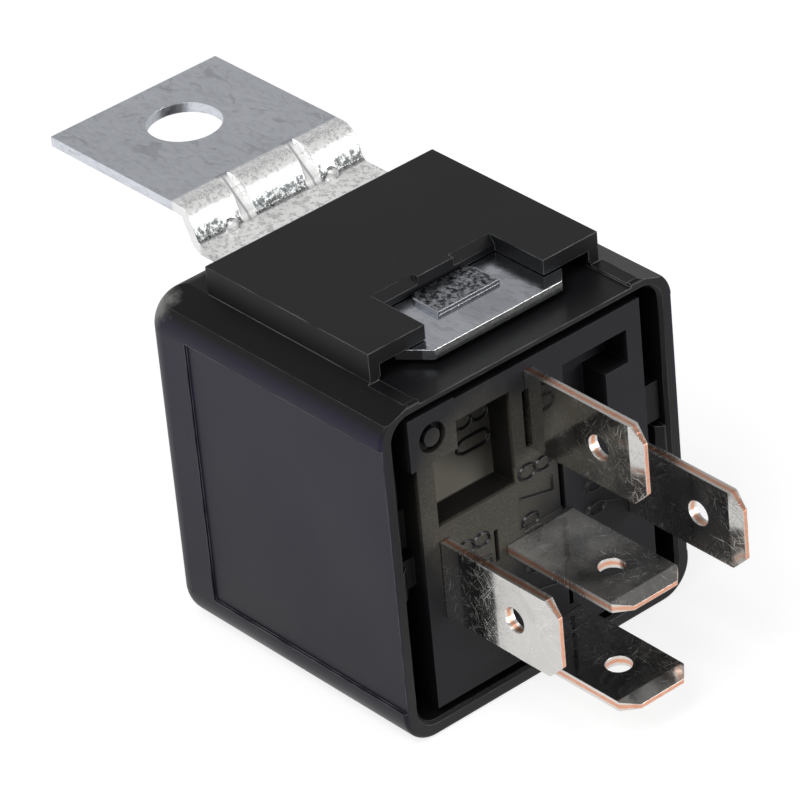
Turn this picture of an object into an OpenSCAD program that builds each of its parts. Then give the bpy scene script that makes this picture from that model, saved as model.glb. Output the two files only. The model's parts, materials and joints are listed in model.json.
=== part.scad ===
// Plug-in automotive changeover relay with a slide-in mounting bracket.
// The relay lies on the side opposite the bracket: +X is the way the blades
// point, +Z the bracket side. Origin: middle of the resting face.
// All sizes in millimetres. The mechanism is drawn released (coil off).

/* [Cover] */
// width of the moulded cover, across the bracket
cover_w = 27.6; // [26:0.1:30]
// height of the cover, from the resting face to the bracket side
cover_h = 27.7; // [25:0.1:30]
// depth of the cover, from its closed end to its rim
cover_len = 25.6; // [24:0.1:29]
// wall thickness of the cover
cover_wall = 1.25; // [0.9:0.05:1.4]
// wall thickness under the bracket pocket
top_wall = 0.9; // [0.8:0.05:1.2]
// radius of the cover's long edges
cover_r = 2.7; // [1.8:0.1:3]
// rounding of the cover's closed end
end_r = 1.9; // [1:0.1:2.4]
// rounding of the rim's outer edge
rim_r = 0.3; // [0.2:0.05:0.6]
// chamfer of the rim's inner edge
lead_c = 0.25; // [0.1:0.05:0.4]
// depth of the shallow panels in the side faces
panel_d = 0.2; // [0.1:0.05:0.4]

/* [Bracket pocket] */
// width of the pocket block on the cover
block_w = 21.5; // [21:0.1:23]
// where the block begins and ends along the relay
block_x0 = -8.85; // [-10:0.05:-8]
block_x1 = 8.65; // [7:0.05:9.5]
// height of the block above the cover
block_h = 2.3; // [2.1:0.1:3]
// thickness of the block's side legs
leg_t = 0.95; // [0.8:0.05:1.2]
// thickness of the block's roof
roof_t = 1.2; // [0.9:0.05:1.3]
// width and depth of the latch notch in the roof
notch_w = 11.1; // [9:0.1:13]
notch_d = 5.1; // [4:0.1:6]
// depth of the step below the tongue
floor_d = 0.3; // [0.1:0.05:0.4]
// length of the guide rails beside the tongue
guide_len = 9; // [6:0.5:11]

/* [Mounting bracket] */
// sheet thickness of the bracket
sheet_t = 0.8; // [0.7:0.05:1]
// width of the plate and its neck
bracket_w = 15.7; // [14:0.1:18]
// far edge of the plate
plate_x = -29.85; // [-34:0.05:-29]
// height of the plate's upper face above the tongue's
bracket_rise = 2.58; // [2:0.02:5]
// angle of the double bend
bend_a = 65; // [50:1:80]
// inside radius of both bends
bend_r = 0.5; // [0.3:0.05:0.8]
// where the lower bend begins
bend_x = -12.85; // [-14:0.05:-11]
// screw hole of the plate
hole_d = 5.7; // [4.3:0.1:6.5]
// where the screw hole is
hole_x = -23.95; // [-26:0.05:-22]
// how far the tongue stands out of the pocket
tongue_out = 1.4; // [0.5:0.1:2.5]
// play between the tongue and the roof above it
tongue_play = 0.1; // [0.05:0.01:0.15]
// play between the tongue and each guide rail
side_play = 0.1; // [0.05:0.01:0.2]
// width, length and height of the half-sheared latch pad
pad_w = 5.8; // [4:0.1:8]
pad_len = 3.2; // [2.4:0.1:4]
pad_h = 0.32; // [0.2:0.02:0.5]
// bevelled front corners of the tongue, along it and across it
tongue_cx = 2.1; // [1:0.1:3]
tongue_cy = 1.85; // [1:0.05:3]

/* [Blades] */
// width of the plug-in blades
blade_w = 6.3; // [6.3]
// thickness of the plug-in blades
blade_t = 0.8; // [0.8]
// how far the blades stand out past the rim
blade_out = 11.7; // [10:0.1:12.5]
// hole of the blades and its distance from the tip
blade_hole_d = 2.0; // [1.6:0.1:2.3]
blade_hole_in = 4.45; // [3.8:0.05:4.6]
// corner chamfer, bevel length and edge thickness of the tips
tip_c = 1.1; // [0.6:0.1:1.4]
tip_b = 1.3; // [0.8:0.1:1.6]
tip_t = 0.35; // [0.25:0.05:0.5]
// from the base plate's upper edge to the common blade
edge_in = 0.8; // [0.4:0.05:1]
// from the base plate's lower edge to the middle of the make blade
low_in = 1.3; // [1.2:0.05:2]
// centre distance of the make and break blades
pitch = 8.4; // [8.4]
// from the cover's side to the middle of each coil blade
coil_side = 5; // [4.8:0.05:5.2]
// how far the coil blades' middle lies above the break blade
coil_rise = 0.6; // [0.4:0.05:0.8]

/* [Base plate] */
// from a coil blade's middle to the base plate's side
base_side = 1.87; // [1.7:0.01:2]
// gap between the base plate and the cover's inside, at the bracket side and opposite
base_gap = 0.6; // [0.5:0.05:1]
foot_gap = 0.8; // [0.5:0.05:1]
// thickness of the base plate
base_t = 3.2; // [3:0.1:3.4]
// how far the base plate lies inside the rim
base_in = 0.12; // [0.1:0.02:0.5]
// depth of the base plate's deep pockets
pocket_d = 2.5; // [1:0.1:2.6]
// clearance round the blades in their slots
slot_play = 0.05; // [0.03:0.01:0.1]
// clearance of the base plate's side lugs in the cover
lug_play = 0.12; // [0.05:0.01:0.2]
// reach of the cover's catches
catch_h = 0.65; // [0.4:0.05:0.8]

/* [Mechanism] */
// from the base plate to the yoke's back
yoke_back = 0.9; // [0.8:0.05:1.1]
// from the yoke's upper face to the cover above it
yoke_gap = 2.8; // [2.5:0.1:3]
// from the closed end to the edge the armature turns on
end_room = 6.6; // [6.6:0.1:7.2]
// thickness and width of the yoke
yoke_t = 1.5; // [1.3:0.1:1.6]
yoke_w = 13; // [11:0.5:13]
// outside radius of the yoke's bend
yoke_r = 1.6; // [1.6:0.05:1.8]
// radius of the core, of its pole shoe and of its riveted end
core_r = 2.5; // [2:0.1:2.8]
pole_r = 4.2; // [3.6:0.1:4.4]
rivet_end_r = 2; // [1.6:0.1:2.2]
// clearance of the core in the bobbin and in the yoke
core_play = 0.05; // [0.03:0.01:0.1]
fit_play = 0.02; // [0.02:0.01:0.05]
// gap between the bobbin and the yoke above it
coil_gap = 0.9; // [0.7:0.05:1.2]
// height of the bobbin's flanges
coil_h = 12.95; // [11:0.05:13]
// gap between the bobbin and the coil blades
coil_clear = 1.8; // [1.6:0.05:2.2]
// how far the winding lies inside the flanges
wind_in = 0.5; // [0.3:0.05:1]
// thickness of the bobbin's flanges and of its tube
flange_t = 1; // [0.8:0.05:1.2]
tube_t = 0.75; // [0.6:0.05:0.9]
// radius of the coil's wire ends
wire_r = 0.14; // [0.1:0.01:0.16]
// thickness and width of the armature
arm_t = 1.4; // [1.2:0.1:1.4]
arm_w = 11; // [9:0.5:12]
// how far the armature reaches past the pole shoe
arm_past = 0.8; // [0.5:0.05:1]
// angle the armature opens when the coil is off
open_a = 3.4; // [3.4]
// running clearance at the hinge edge and at the pole
run_play = 0.03; // [0.02:0.01:0.05]
// thickness of the leaf spring
leaf_t = 0.25; // [0.2:0.05:0.3]
// inside radius of the leaf's bend
leaf_r = 0.8; // [0.8]
// width of the leaf and of its end at the contact
leaf_w = 9; // [8:0.5:9.5]
leaf_end_w = 4.2; // [3.6:0.1:5]
// length of the leaf along the yoke
leaf_len = 12.8; // [12:0.1:13]
// sideways place, shank and head of the rivets
rivet_y = 2.6; // [2.4:0.1:2.8]
rivet_r = 0.7; // [0.6:0.05:0.8]
rivet_head_r = 1.1; // [1:0.05:1.2]
rivet_head_h = 0.48; // [0.4:0.02:0.5]
// rivets: along the yoke, and down the armature
rivet_x = 5; // [4.6:0.1:6]
rivet_z = 5.2; // [4.8:0.1:6]
// how far the break terminal's strip lies above the make blade
strip_up = 1.9; // [1.8:0.05:2.2]
// how far the contacts lie above that strip
contact_up = 1.2; // [1.2:0.05:1.5]
// radius and height of the contact heads, radius of their shanks
head_r = 1.25; // [1:0.05:1.3]
head_h = 0.4; // [0.3:0.05:0.45]
shank_r = 0.7; // [0.6:0.05:0.8]
// rest gap at the closed contact
rest_gap = 0.03; // [0.02:0.01:0.05]

/* [Hidden] */
$fn = 48;
e = 0.01;
rim_x = cover_len / 2;
back_x = -cover_len / 2;
top_z = cover_h;
roof_z = top_z + block_h;
in_y = cover_w / 2 - cover_wall;
in_w = cover_w - 2 * cover_wall;
in_h = cover_h - cover_wall - top_wall;
in_r = cover_r - cover_wall + 0.2;
half_rail = block_w / 2 - leg_t + 0.15;
tongue_z = roof_z - roof_t - tongue_play;
guide_y = bracket_w / 2 + side_play;
plate_z = tongue_z + bracket_rise;
notch_x = block_x1 - notch_d;
base_x1 = rim_x - base_in;
base_x0 = base_x1 - base_t;
base_z0 = cover_wall + foot_gap;
base_z1 = cover_h - top_wall - base_gap;
y_coil = cover_w / 2 - coil_side;
base_w = 2 * (y_coil + base_side);
z30 = base_z1 - edge_in - blade_w / 2;
z87 = base_z0 + low_in;
z87a = z87 + pitch;
z_coil = z87a + coil_rise;
tip_x = rim_x + blade_out;
yoke_x = base_x0 - yoke_back;
yoke_z = cover_h - top_wall - yoke_gap;
hinge_x = back_x + end_room;
flange_x = yoke_x + fit_play;
strip_z = z87 + strip_up;
contact_z = strip_z + contact_up;
coil_top = yoke_z - yoke_t - coil_gap;
flange_h = coil_h / 2;
coil_z = coil_top - flange_h;
flange_w = y_coil - blade_t / 2 - coil_clear;
wind_r = min(flange_h, flange_w) - wind_in;
tube_r = core_r + tube_t;
arm_end = max(coil_z - pole_r - arm_past, contact_z + head_r + 0.3);
arm_len = yoke_z - arm_end;
arm_top = -0.09;
leaf_cx = (-arm_t + leaf_r - leaf_r * sin(open_a)) / cos(open_a);
leaf_cz = leaf_cx * sin(open_a) - leaf_r * cos(open_a);
leaf_low = contact_z - yoke_z - 1.8;
shank_play = 0.02;
head_gap = 0.06;
nc_x = hinge_x - (arm_t + leaf_t + head_h) * cos(open_a)
     - (yoke_z - contact_z) * sin(open_a) - rest_gap - head_gap;
no_x = hinge_x - arm_t + head_h + run_play;
seat_t = 0.5;
catch_x = base_x1 - 1.2;
catch_z = -0.25;
catch_w = 2.35;
ring_r = 1.2;
ring_y = -base_w / 2 + 1.6;
ring_z = base_z1 - 2;
tab_h = 4;
tab_w = 3.77;
left_h = 9.5;
right_h = 8.9;
foot_y = 4.4;
foot_low = 2.4;
foot_up = 1.6;
heel = 2;
web_y = -1.85;
web_w = 4;
label_d = 0.14;
groove_d = 0.8;
groove_w = 0.38;
post_y = 5.2;
stand_l = 2.4;
strip_y0 = 5;
strip_y1 = 8.2;
plate_w = 5.2;
rib_y = 3.1;
rib_in = 1.6;
rib_down = 1.6;
rib_w = 1.15;
dimple_r = 0.55;
dimple_y = 4.75;
post_l = 3.1;
pole_t = 1;
post_h = 1.4;
lead_x = base_x0 - stand_l - 1.5;
lead_z = z_coil + 0.6 + post_h / 2;

// ---------- helpers ----------

// a box from its two corners
module box(a, b) translate(a) cube(b - a);

// a round bar along X
module xbar(x0, x1, y, z, r) translate([x0, y, z]) rotate([0, 90, 0]) cylinder(r = r, h = x1 - x0);

// a block along +Z with rounded long edges r and a rounding f round its upper end
module prism(w, d, h, r, f) {
    for (i = [-1, 1], j = [-1, 1])
        translate([i * (w / 2 - r), j * (d / 2 - r), 0])
            rotate_extrude() edge_profile(r, h, f);
    for (i = [-1, 1]) {
        translate([i * (w / 2 - r), 0, 0]) mirror([i < 0 ? 1 : 0, 0, 0])
            rotate([90, 0, 0]) linear_extrude(height = d - 2 * r, center = true) edge_profile(r, h, f);
        translate([0, i * (d / 2 - r), 0]) rotate([0, 0, i * 90])
            rotate([90, 0, 0]) linear_extrude(height = w - 2 * r, center = true) edge_profile(r, h, f);
    }
    translate([-w / 2 + r, -d / 2 + r, 0]) cube([w - 2 * r, d - 2 * r, h]);
}
module edge_profile(r, h, f) {
    square([r, h - f]);
    square([max(r - f, e), h]);
    intersection() {
        translate([r - f, h - f]) circle(r = f);
        square([r, h]);
    }
}

// the same block laid along +X or -X from x = 0, standing on z = 0
module xprism(len, w, h, r, f, dir = 1)
    translate([0, 0, h / 2]) rotate([0, dir * 90, 0]) prism(h, w, len, r, f);

// a sheet profile drawn in X and Z, extruded across Y
module across(w) rotate([90, 0, 0]) linear_extrude(height = w, center = true) children();

// part of a flat ring
module ring_part(r0, r1, a0, a1) {
    intersection() {
        difference() { circle(r = r1); circle(r = r0); }
        polygon([[0, 0], 3 * r1 * [cos(a0), sin(a0)],
                 3 * r1 * [cos((a0 + a1) / 2), sin((a0 + a1) / 2)] / cos((a1 - a0) / 2),
                 3 * r1 * [cos(a1), sin(a1)]]);
    }
}

// ---------- cover ----------

module cover() color([0.16, 0.17, 0.19]) {
    difference() {
        union() {
            xprism(rim_x, cover_w, cover_h, cover_r, rim_r, 1);
            xprism(-back_x, cover_w, cover_h, cover_r, end_r, -1);
            box([block_x0, -block_w / 2, top_z - 1], [block_x1, block_w / 2, roof_z]);
        }
        cover_inside();
        cover_panels();
        bracket_pocket();
    }
    cover_catches();
}

// the hollow, open at the rim and chamfered there
module cover_inside() {
    translate([0, 0, cover_wall]) {
        xprism(rim_x + 1, in_w, in_h, in_r, 0.2, 1);
        xprism(-back_x - cover_wall, in_w, in_h, in_r, 0.4, -1);
    }
    across(in_w - 2 * in_r) for (t = [0, 1]) translate([0, cover_wall + t * in_h]) mirror([0, t])
        polygon([[rim_x - lead_c, e], [rim_x - lead_c, 0], [rim_x + e, -lead_c - e], [rim_x + e, e]]);
    for (t = [0, 1]) mirror([0, t, 0]) translate([0, 0, cover_wall + in_r])
        linear_extrude(height = in_h - 2 * in_r)
            polygon([[rim_x - lead_c, in_y - e], [rim_x - lead_c, in_y], [rim_x + e, in_y + lead_c + e],
                     [rim_x + e, in_y - e]]);
    for (t = [0, 1], u = [0, 1])
        translate([rim_x - lead_c, (1 - 2 * t) * (in_y - in_r), cover_wall + in_r + u * (in_h - 2 * in_r)])
            rotate([0, 90, 0]) cylinder(r1 = in_r, r2 = in_r + lead_c + e, h = lead_c + e);
}

// shallow panels in both side faces and steps in the bracket side
module cover_panels() {
    for (t = [0, 1]) mirror([0, t, 0]) {
        box([back_x + 4.5, cover_w / 2 - panel_d, 3.1], [rim_x + 1, cover_w / 2 + 1, cover_h - 2.5]);
        box([block_x1, half_rail, top_z - floor_d / 2.5], [rim_x - 0.4, half_rail + 1.05, top_z + 1]);
        // flat from the block's foot down to the long edge
        translate([back_x - 1, 0, 0]) rotate([90, 0, 90]) linear_extrude(height = cover_len + 2)
            polygon([[block_w / 2 + e, top_z], [cover_w / 2 - 0.8, top_z - 0.8],
                     [cover_w / 2 + 1, top_z - 0.8], [cover_w / 2 + 1, top_z + 1], [block_w / 2 + e, top_z + 1]]);
    }
    box([block_x0 + 0.5, -half_rail, top_z - floor_d], [rim_x + 1, half_rail, top_z + 0.1]);
}

// tunnel for the tongue and the latch notch in the roof
module bracket_pocket() {
    box([block_x0 - 1, -guide_y, top_z - floor_d], [block_x1, guide_y, roof_z - roof_t]);
    box([block_x0 + guide_len, -block_w / 2 + leg_t, top_z - floor_d],
        [block_x1 + 1, block_w / 2 - leg_t, roof_z - roof_t]);
    box([notch_x, -notch_w / 2, top_z], [block_x1 + 1, notch_w / 2, roof_z + 1]);
    // lead-in at the tunnel's back mouth
    across(2 * guide_y) polygon([[block_x0 - e, roof_z - roof_t - e], [block_x0 + 0.6, roof_z - roof_t - e],
        [block_x0 - e, roof_z - roof_t + 0.4]]);
    // bevels of the notch's back edge, beside its plain middle
    for (s = [-1, 1]) translate([0, s * (notch_w / 4 + 0.85), 0])
        across(notch_w / 2 - 1.7) polygon([[notch_x + e, roof_z + e], [notch_x - 0.55, roof_z + e],
            [notch_x + e, roof_z - 0.7]]);
}

// catches inside the side walls; the base plate's lugs snap in behind them
module cover_catches() {
    for (t = [0, 1]) mirror([0, t, 0]) translate([0, in_y + e, z_coil + catch_z])
        linear_extrude(height = catch_w)
            polygon([[catch_x, 0.2], [catch_x, -catch_h], [rim_x - 0.75, -catch_h],
                     [rim_x - 0.3, -0.1], [rim_x - 0.3, 0.2]]);
}

// ---------- base plate ----------

module base_plate() color([0.13, 0.13, 0.14]) {
    difference() {
        union() {
            box([base_x0, -base_w / 2, base_z0], [base_x1, base_w / 2, base_z1]);
            corner_tab();
            side_lugs();
            // posts that carry the yoke
            for (s = [-1, 1]) box([yoke_x + fit_play, s * post_y - 0.6, coil_z - 1],
                [base_x0 + e, s * post_y + 0.6, coil_z + 3.6]);
            // stands for the coil blades' inner ends
            for (s = [-1, 1]) box([base_x0 - stand_l, s * (y_coil + 0.95) - 0.45, z_coil - 2.6],
                [base_x0 + e, s * (y_coil + 0.95) + 0.45, z_coil + 2.6]);
        }
        blade_slots();
        base_pockets();
        crank_pocket();
    }
    // island of the ring mark
    xbar(base_x1 - 0.65, base_x1 + 0.06, ring_y, ring_z, ring_r - 0.5);
}

// raised corner tab, beside the common blade
module corner_tab() box([base_x0, -base_w / 2 - 0.5, base_z1 - tab_h],
    [base_x1 + 0.08, -base_w / 2 + tab_w, base_z1 + 0.2]);

// lugs that centre the plate, and lugs behind the cover's catches
module side_lugs() {
    out = in_y - lug_play;
    for (t = [0, 1]) mirror([0, t, 0]) {
        box([base_x0 + 0.3, base_w / 2 - 1, z_coil + catch_z + catch_w + 0.55],
            [base_x1 - (t == 0 ? 0.6 : 1.9), out, z_coil + 5.85]);
        box([base_x0, base_w / 2 - 1, z_coil + catch_z], [catch_x - 0.05, out, z_coil + catch_z + catch_w]);
    }
}

module blade_slots() {
    a = blade_w / 2 + slot_play;
    b = blade_t / 2 + slot_play;
    box([base_x0 - 1, -b, z30 - a], [base_x1 + 1, b, z30 + a]);
    for (s = [-1, 1]) box([base_x0 - 3, s * y_coil - b, z_coil - a], [base_x1 + 1, s * y_coil + b, z_coil + a]);
    for (z = [z87a, z87]) box([base_x0 - 1, -a, z - b], [base_x1 + 1, a, z + b]);
    // relief beside the common blade
    box([base_x1 - groove_d, -b - 0.28, z30 - a + 0.1], [base_x1 + 1, 0, z30 + 1.6]);
}

module base_pockets() {
    d = base_x1 - pocket_d;
    up = base_x1 + 1;
    // left pocket, beside and below the corner tab
    left = -base_w / 2 + 1.52;
    low = base_z1 - left_h;
    box([d, left, low], [up, web_y, base_z1 - tab_h]);
    box([d, -base_w / 2 + tab_w, low], [up, web_y, base_z1 - 1.8]);
    // right pocket, L-shaped
    right = base_w / 2 - 1.37;
    box([d, 3.1, base_z1 - 4.74], [up, right, base_z1 - 2]);
    box([d, 3.1, base_z1 - right_h], [up, right - 2.2, base_z1 - 2]);
    // sunk field above the break blade, and the groove at its side
    box([base_x1 - label_d, web_y, z87a + 1], [up, web_y + web_w, base_z1 - 8.2]);
    box([base_x1 - groove_d, web_y + web_w, z87a + 0.7], [up, web_y + web_w + groove_w, z87a + 4.65]);
    box([base_x1 - groove_d, web_y + web_w, z87 + 0.9], [up, web_y + web_w + groove_w, z87a - 0.9]);
    // groove beside the break blade
    box([base_x1 - groove_d, -4.3, z87a - 0.45], [up, -4.3 + groove_w, z87a + 2.2]);
    // ring mark of the corner tab
    xbar(base_x1 - 0.6, up, ring_y, ring_z, ring_r);
}

// pocket behind the break terminal's crank
module crank_pocket() {
    a = blade_w / 2 + 0.1;
    box([base_x0 - 1, -a, strip_z - 0.5], [base_x0 + 0.5, strip_y1 + 0.1, z87a - 3.6]);
    box([base_x0 - 1, -a, z87a - 3.7], [base_x0 + 0.5, a, z87a + 0.5]);
}

// ---------- mounting bracket ----------

module bracket_profile() {
    rm = bend_r + sheet_t / 2;
    run = (bracket_rise - 2 * rm * (1 - cos(bend_a))) / sin(bend_a);
    x2 = upper_bend()[0];
    // neck, double bend, plate
    translate([bend_x, tongue_z - sheet_t]) square([-bend_x + block_x0 + 2, sheet_t]);
    translate([bend_x, tongue_z + bend_r]) ring_part(bend_r, bend_r + sheet_t, 270 - bend_a, 270);
    translate([bend_x - rm * sin(bend_a), tongue_z - sheet_t / 2 + rm * (1 - cos(bend_a))])
        rotate(180 - bend_a) translate([0, -sheet_t / 2]) square([run, sheet_t]);
    translate([x2, plate_z - sheet_t - bend_r]) ring_part(bend_r, bend_r + sheet_t, 90 - bend_a, 90);
    translate([plate_x, plate_z - sheet_t]) square([x2 - plate_x, sheet_t]);
}

module mounting_bracket() color([0.72, 0.73, 0.75]) {
    front = block_x1 + tongue_out;
    w = bracket_w / 2;
    difference() {
        union() {
            across(bracket_w) bracket_profile();
            // tongue in the pocket
            translate([0, 0, tongue_z - sheet_t]) linear_extrude(height = sheet_t)
                polygon([[block_x0 + 1, -w], [front - tongue_cx, -w], [front, tongue_cy - w],
                         [front, w - tongue_cy], [front - tongue_cx, w], [block_x0 + 1, w]]);
            gussets();
            translate([0, 0, tongue_z - e]) linear_extrude(height = pad_h + e) pad_outline(0);
        }
        gusset_grooves();
        translate([hole_x, 0, plate_z - sheet_t - 1]) cylinder(d = hole_d, h = sheet_t + 2);
        // the pad's hollow underside
        translate([0, 0, tongue_z - sheet_t - 1]) linear_extrude(height = pad_h + 1) pad_outline(0.12);
    }
}

// latch pad: square at the front, rounded at the end behind the notch edge
module pad_outline(g) {
    x0 = notch_x + 0.2 + g;
    x1 = notch_x + 0.2 + pad_len - g;
    w = pad_w / 2 - g;
    r = 0.8;
    translate([x0 + r, -w]) square([x1 - x0 - r, 2 * w]);
    translate([x0, -w + r]) square([x1 - x0, 2 * w - 2 * r]);
    for (t = [-1, 1]) translate([x0 + r, t * (w - r)]) circle(r = r);
}

// where the upper bend's centre lies
function upper_bend() = let (rm = bend_r + sheet_t / 2,
    run = (bracket_rise - 2 * rm * (1 - cos(bend_a))) / sin(bend_a))
    [bend_x - 2 * rm * sin(bend_a) - run * cos(bend_a), plate_z - sheet_t - bend_r];

// two ribs pressed across the upper bend and two dimples in the lower one
module gussets() {
    c = upper_bend();
    n = [sin(bend_a), cos(bend_a)];
    t = [cos(bend_a), -sin(bend_a)];
    for (s = [-1, 1]) {
        translate([0, s * rib_y, 0]) across(rib_w + 0.3) polygon([c + [-rib_in, bend_r + 0.05],
            c + [0, bend_r + 0.05], c + (bend_r + 0.05) * n, c + (bend_r + 0.05) * n + rib_down * t]);
        translate([bend_x - 0.42, s * dimple_y, tongue_z + 0.2]) sphere(r = dimple_r, $fn = 24);
    }
}
module gusset_grooves() {
    c = upper_bend();
    n = [sin(bend_a), cos(bend_a)];
    t = [cos(bend_a), -sin(bend_a)];
    r = bend_r + sheet_t;
    in = rib_in - 0.7;
    down = rib_down - 0.1;
    for (s = [-1, 1]) translate([0, s * rib_y, 0]) across(rib_w)
        polygon([c + [-in, r], c + r * n + down * t, c + (r + 2) * n + down * t, c + [-in, r + 2]]);
}

// ---------- blades ----------

// blade outline in X and Y, root at x0, thickness along Z
module blade(x0) {
    difference() {
        linear_extrude(height = blade_t, center = true) difference() {
            polygon([[x0, -blade_w / 2], [tip_x - tip_c, -blade_w / 2], [tip_x, -blade_w / 2 + tip_c],
                     [tip_x, blade_w / 2 - tip_c], [tip_x - tip_c, blade_w / 2], [x0, blade_w / 2]]);
            translate([tip_x - blade_hole_in, 0]) circle(d = blade_hole_d);
        }
        for (s = [0, 1]) mirror([0, 0, s]) across(blade_w + 1)
            polygon([[tip_x - tip_b, blade_t / 2], [tip_x + e, tip_t / 2], [tip_x + e, blade_t], [tip_x - tip_b, blade_t]]);
    }
}

// blade standing on edge
module blade_up(x0) rotate([90, 0, 0]) blade(x0);

module terminal_30() color([0.62, 0.60, 0.58]) {
    translate([0, 0, z30]) blade_up(flange_x);
    // foot welded to the back of the yoke
    box([flange_x, -blade_t / 2, z30 - foot_low], [flange_x + blade_t, foot_y, z30 + foot_up]);
}

module coil_terminal(s) {
    translate([0, s * y_coil, z_coil]) blade_up(base_x0 - stand_l - 0.1);
    // wire post
    box([base_x0 - stand_l - post_l, s * y_coil - blade_t / 2, z_coil + 0.6],
        [base_x0 - stand_l, s * y_coil + blade_t / 2, z_coil + 0.6 + post_h]);
}
module terminal_85() color([0.62, 0.60, 0.58]) coil_terminal(-1);
module terminal_86() color([0.62, 0.60, 0.58]) coil_terminal(1);

// make terminal: straight in, then up behind the fixed contact
module terminal_87() color([0.62, 0.60, 0.58]) {
    px = no_x + seat_t;
    translate([0, 0, z87]) blade(px + heel);
    difference() {
        box([px, -plate_w / 2, z87 - blade_t / 2], [px + blade_t, plate_w / 2, contact_z + 1.4]);
        xbar(px - 1, px + 2, 0, contact_z, shank_r + shank_play);
    }
    box([px, -plate_w / 2, z87 - blade_t / 2], [px + heel + 0.1, plate_w / 2, z87 + blade_t / 2]);
}

// break terminal: cranked down in the base, along one side, up to the contact
module terminal_87a() color([0.62, 0.60, 0.58]) {
    cx = base_x0 - 0.4;
    px = nc_x - seat_t - blade_t;
    low = strip_z - blade_t / 2;
    translate([0, 0, z87a]) blade(cx);
    box([cx, -blade_w / 2, low], [cx + blade_t, blade_w / 2, z87a + blade_t / 2]);
    box([cx, 0, low], [cx + blade_t, strip_y1, z87a - 3.75]);
    box([px, strip_y0, low], [cx + blade_t, strip_y1, low + blade_t]);
    difference() {
        box([px, -plate_w / 2, low], [px + blade_t, strip_y1, contact_z + 1.8]);
        xbar(px - 1, px + 2, 0, contact_z, shank_r + shank_play);
    }
}

// ---------- magnet ----------

module yoke() color([0.66, 0.67, 0.66]) difference() {
    union() {
        box([yoke_x - yoke_t, -yoke_w / 2, coil_z - pole_r], [yoke_x, yoke_w / 2, yoke_z - yoke_r]);
        box([hinge_x + run_play, -yoke_w / 2, yoke_z - yoke_t], [yoke_x - yoke_r, yoke_w / 2, yoke_z]);
        across(yoke_w) translate([yoke_x - yoke_r, yoke_z - yoke_r]) intersection() {
            ring_part(yoke_r - yoke_t, yoke_r, 0, 90);
            square(2 * yoke_r);
        }
    }
    xbar(yoke_x - yoke_t - 1, yoke_x + 1, 0, coil_z, rivet_end_r + fit_play);
    for (s = [-1, 1]) translate([hinge_x + rivet_x, s * rivet_y, yoke_z - yoke_t - 1])
        cylinder(r = rivet_r + shank_play, h = yoke_t + 2);
}

module core() color([0.70, 0.70, 0.69]) {
    x0 = hinge_x + run_play;
    xbar(x0, x0 + pole_t, 0, coil_z, pole_r);
    xbar(x0 + pole_t - 0.1, yoke_x - yoke_t, 0, coil_z, core_r);
    xbar(yoke_x - yoke_t - 0.1, yoke_x + 0.25, 0, coil_z, rivet_end_r);
}

module bobbin() color([0.20, 0.20, 0.21]) {
    x0 = hinge_x + run_play + pole_t + 0.1;
    x1 = yoke_x - yoke_t - 0.05;
    difference() {
        union() {
            for (x = [x0, x1 - flange_t]) flange(x);
            xbar(x0, x1, 0, coil_z, tube_r);
            // horns that hold the coil's ends
            for (t = [0, 1]) mirror([0, t, 0]) box([x1 - flange_t, flange_w - 0.5, lead_z - 1.6],
                [x1, flange_w + 0.7, lead_z - 0.4]);
        }
        xbar(x0 - 1, x1 + 1, 0, coil_z, core_r + core_play);
    }
}

// flange with its corners cut off
module flange(x) translate([x, 0, coil_z]) rotate([0, 90, 0]) linear_extrude(height = flange_t)
    difference() {
        square([2 * flange_h, 2 * flange_w], center = true);
        for (i = [-1, 1], j = [-1, 1]) translate([i * flange_h, j * flange_w]) rotate(45) square(2, center = true);
    }

module coil_winding() color([0.60, 0.30, 0.14]) difference() {
    xbar(hinge_x + run_play + pole_t + flange_t + 0.12, yoke_x - yoke_t - flange_t - 0.07, 0, coil_z, wind_r);
    xbar(hinge_x, yoke_x, 0, coil_z, tube_r + 0.02);
}

// coil end: from the winding, round the terminal's post
module coil_lead(s) {
    y0 = sqrt(pow(wind_r, 2) - pow(coil_z - lead_z, 2)) + wire_r + 0.02;
    y1 = y_coil - blade_t / 2 - wire_r - 0.02;
    mirror([0, s > 0 ? 0 : 1, 0]) {
        translate([lead_x, y0, lead_z]) rotate([-90, 0, 0]) cylinder(r = wire_r, h = y1 - y0, $fn = 24);
        translate([lead_x, y1, lead_z]) sphere(r = wire_r, $fn = 24);
        // turns on the post
        for (k = [0, 1, 2]) translate([lead_x + 0.05 - 0.34 * k, y_coil, lead_z]) rotate([0, 90, 0])
            difference() {
                cube([post_h + 0.04 + 4 * wire_r, blade_t + 0.04 + 4 * wire_r, 2 * wire_r], center = true);
                cube([post_h + 0.04, blade_t + 0.04, 1], center = true);
            }
    }
}
module coil_lead_85() color([0.72, 0.38, 0.18]) coil_lead(-1);
module coil_lead_86() color([0.72, 0.38, 0.18]) coil_lead(1);

// ---------- moving group, drawn open ----------

// children are drawn closed, with the hinge edge at the origin
module opened() translate([hinge_x, 0, yoke_z]) rotate([0, open_a, 0]) children();

module armature() color([0.68, 0.68, 0.67]) opened() difference() {
    across(arm_w) polygon([[0, arm_top], [-arm_t + 0.85, arm_top], [-arm_t, arm_top - 0.8],
        [-arm_t, -arm_len + 0.4], [-arm_t + 0.3, -arm_len], [0, -arm_len]]);
    for (s = [-1, 1]) xbar(-arm_t - 1, 1, s * rivet_y, -rivet_z, rivet_r + shank_play);
}

module armature_rivets() color([0.74, 0.72, 0.68]) opened() for (s = [-1, 1]) {
    back = -arm_t - leaf_t;
    xbar(back - 0.02, -0.35, s * rivet_y, -rivet_z, rivet_r);
    xbar(back - 0.02 - rivet_head_h, back - 0.02, s * rivet_y, -rivet_z, rivet_head_r);
}

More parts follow.
